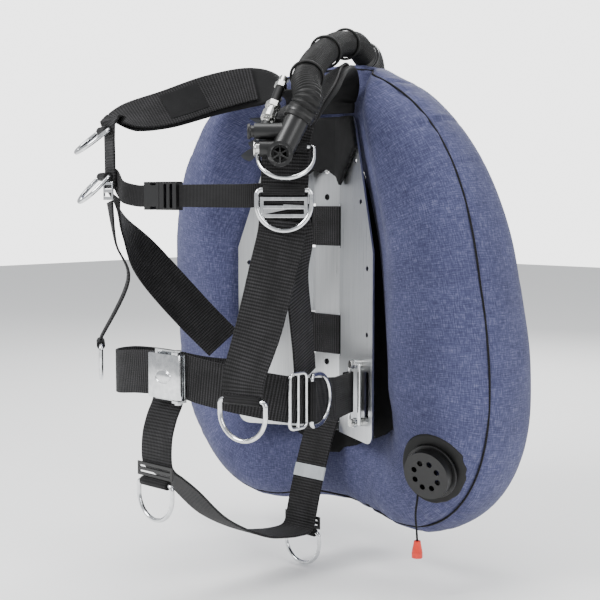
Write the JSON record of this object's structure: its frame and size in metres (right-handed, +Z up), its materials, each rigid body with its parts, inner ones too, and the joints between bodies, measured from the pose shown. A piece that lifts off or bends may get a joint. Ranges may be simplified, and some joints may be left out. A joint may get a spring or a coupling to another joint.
{
  "type": "diver's buoyancy wing with backplate harness",
  "caption": "Doughnut-shaped inflatable buoyancy wing on a bent steel backplate, with a webbing harness, D-rings, a corrugated inflator hose and a pull dump valve.",
  "frame": {"origin": "centre of the two tank-bolt holes, at the front face of the backplate channel", "axes": "+Z up; -Y towards the wearer's front, +Y towards the cylinder; +X towards the wearer's left"},
  "size_m": [0.5451, 0.409, 0.6683],
  "materials": {
    "stainless_plate": "brushed",
    "stainless_rod": "polished",
    "fitting_metal": "polished",
    "denim_shell": "woven, matt",
    "bladder_film": "satin",
    "panel_fabric": "woven, matt",
    "black_webbing": "ribbed weave, matt",
    "black_rubber": "matt",
    "black_plastic": "satin",
    "pale_plastic": "satin",
    "red_plastic": "semi-gloss"
  },
  "bodies": {
    "harness": {"backplate": "stainless_plate", "belt_bracket": "stainless_rod", "bracket_bolts": "fitting_metal", "wing_shell": "denim_shell", "wing_bladder": "bladder_film", "center_panel": "panel_fabric", "panel_grommets": "fitting_metal", "tank_bands": "black_webbing", "hose_elbow": "black_plastic", "elbow_nut": "black_plastic", "corrugated_hose": "black_rubber", "hose_retainers": "black_rubber", "inflator_body": "black_plastic", "mouthpiece": "black_plastic", "button_springs": "fitting_metal", "qd_nipple": "fitting_metal", "qd_coupler": "fitting_metal", "lp_hose": "black_rubber", "lp_fitting": "fitting_metal", "yoke_pad": "panel_fabric", "shoulder_pad_left": "panel_fabric", "shoulder_pad_right": "panel_fabric", "shoulder_webbing_left": "black_webbing", "shoulder_webbing_right": "black_webbing", "load_webbing_left": "black_webbing", "load_webbing_right": "black_webbing", "tail_webbing_left": "black_webbing", "tail_webbing_right": "black_webbing", "shoulder_adjusters": "stainless_rod", "ring_keepers": "black_webbing", "chest_strap_left": "black_webbing", "chest_strap_right": "black_webbing", "chest_buckle_socket": "black_plastic", "chest_buckle_plug": "black_plastic", "waist_belt_left": "black_webbing", "waist_belt_right": "black_webbing", "waist_buckle_frame": "stainless_rod", "waist_buckle_pin": "stainless_rod", "belt_slider": "stainless_rod", "crotch_strap": "black_webbing", "crotch_slides": "black_plastic", "dump_valve_base": "black_plastic", "dump_valve_cap": "black_plastic", "dump_spring": "fitting_metal"},
    "chest_ring_left": {"chest_ring_left": "stainless_rod"},
    "chest_ring_right": {"chest_ring_right": "stainless_rod"},
    "adjuster_ring_left": {"adjuster_ring_left": "stainless_rod"},
    "adjuster_ring_right": {"adjuster_ring_right": "stainless_rod"},
    "tail_ring_left": {"tail_ring_left": "stainless_rod"},
    "tail_ring_right": {"tail_ring_right": "stainless_rod"},
    "belt_ring": {"belt_ring": "stainless_rod"},
    "crotch_ring_rear": {"crotch_ring_rear": "stainless_rod"},
    "crotch_ring_front": {"crotch_ring_front": "stainless_rod"},
    "waist_buckle_lever": {"waist_buckle_lever": "stainless_rod"},
    "inflate_button": {"inflate_button": "black_plastic"},
    "deflate_button": {"deflate_button": "fitting_metal"},
    "qd_sleeve": {"qd_sleeve": "fitting_metal"},
    "dump_poppet": {"dump_poppet": "pale_plastic"},
    "pull_cord": {"dump_cord": "black_rubber", "dump_knob": "red_plastic"}
  },
  "joints": [
    {"name": "chest_ring_left_hinge", "type": "hinge", "parent": "harness", "child": "chest_ring_left", "pos_m": [0.15261, -0.23575, 0.158], "axis": [0.7317, 0.6816, 0], "range_deg": [0, 22]},
    {"name": "chest_ring_right_hinge", "type": "hinge", "parent": "harness", "child": "chest_ring_right", "pos_m": [-0.13991, -0.2451, 0.185], "axis": [-0.9023, 0.4311, 0], "range_deg": [-30, 40]},
    {"name": "adjuster_ring_left_hinge", "type": "hinge", "parent": "harness", "child": "adjuster_ring_left", "pos_m": [0.15361, -0.23997, 0.113], "axis": [0.7317, 0.6816, 0], "range_deg": [-80, 0]},
    {"name": "adjuster_ring_right_hinge", "type": "hinge", "parent": "harness", "child": "adjuster_ring_right", "pos_m": [-0.14004, -0.24537, 0.13], "axis": [-0.9023, 0.4311, 0], "range_deg": [-25, 45]},
    {"name": "tail_ring_left_hinge", "type": "hinge", "parent": "harness", "child": "tail_ring_left", "pos_m": [0.138, -0.286, -0.10418], "axis": [0.9798, 0.2, 0], "range_deg": [-60, 20]},
    {"name": "tail_ring_right_hinge", "type": "hinge", "parent": "harness", "child": "tail_ring_right", "pos_m": [-0.138, -0.256, -0.07038], "axis": [-0.8, 0.6, 0], "range_deg": [-12, 60]},
    {"name": "belt_ring_hinge", "type": "hinge", "parent": "harness", "child": "belt_ring", "pos_m": [0.14364, -0.1859, -0.117], "axis": [0, 0, 1], "range_deg": [-90, 0]},
    {"name": "crotch_ring_rear_hinge", "type": "hinge", "parent": "harness", "child": "crotch_ring_rear", "pos_m": [0, -0.0461, -0.31748], "axis": [1, 0, 0], "range_deg": [-40, 70]},
    {"name": "crotch_ring_front_hinge", "type": "hinge", "parent": "harness", "child": "crotch_ring_front", "pos_m": [0, -0.2886, -0.21348], "axis": [1, 0, 0], "range_deg": [-80, 50]},
    {"name": "buckle_lever_hinge", "type": "hinge", "parent": "harness", "child": "waist_buckle_lever", "pos_m": [0.032, -0.2814, -0.092], "axis": [0, 0, 1], "range_deg": [0, 95]},
    {"name": "inflate_button_press", "type": "slide", "parent": "harness", "child": "inflate_button", "axis": [0.7317, 0.6816, 0], "range_m": [0, 0.004], "stiffness_N_per_m": 300, "springref_m": -0.003, "deforming": ["button_springs"]},
    {"name": "deflate_button_press", "type": "slide", "parent": "harness", "child": "deflate_button", "axis": [0.7317, 0.6816, 0], "range_m": [0, 0.004], "stiffness_N_per_m": 300, "springref_m": -0.003, "deforming": ["button_springs"]},
    {"name": "qd_sleeve_slide", "type": "slide", "parent": "harness", "child": "qd_sleeve", "axis": [-0.2205, 0.6215, 0.7518], "range_m": [0, 0.003], "stiffness_N_per_m": 400, "springref_m": -0.002},
    {"name": "dump_pull", "type": "slide", "parent": "harness", "child": "pull_cord", "axis": [0, 0, -1], "range_m": [0, 0.008], "stiffness_N_per_m": 200, "springref_m": -0.006},
    {"name": "poppet_lift", "type": "slide", "parent": "harness", "child": "dump_poppet", "axis": [0.1257, -0.9674, -0.2197], "range_m": [0, 0.008], "stiffness_N_per_m": 200, "springref_m": -0.006, "deforming": ["dump_spring"]}
  ],
  "couplings": [
    {"joint": "poppet_lift", "follows": "dump_pull", "ratio": 1}
  ]
}
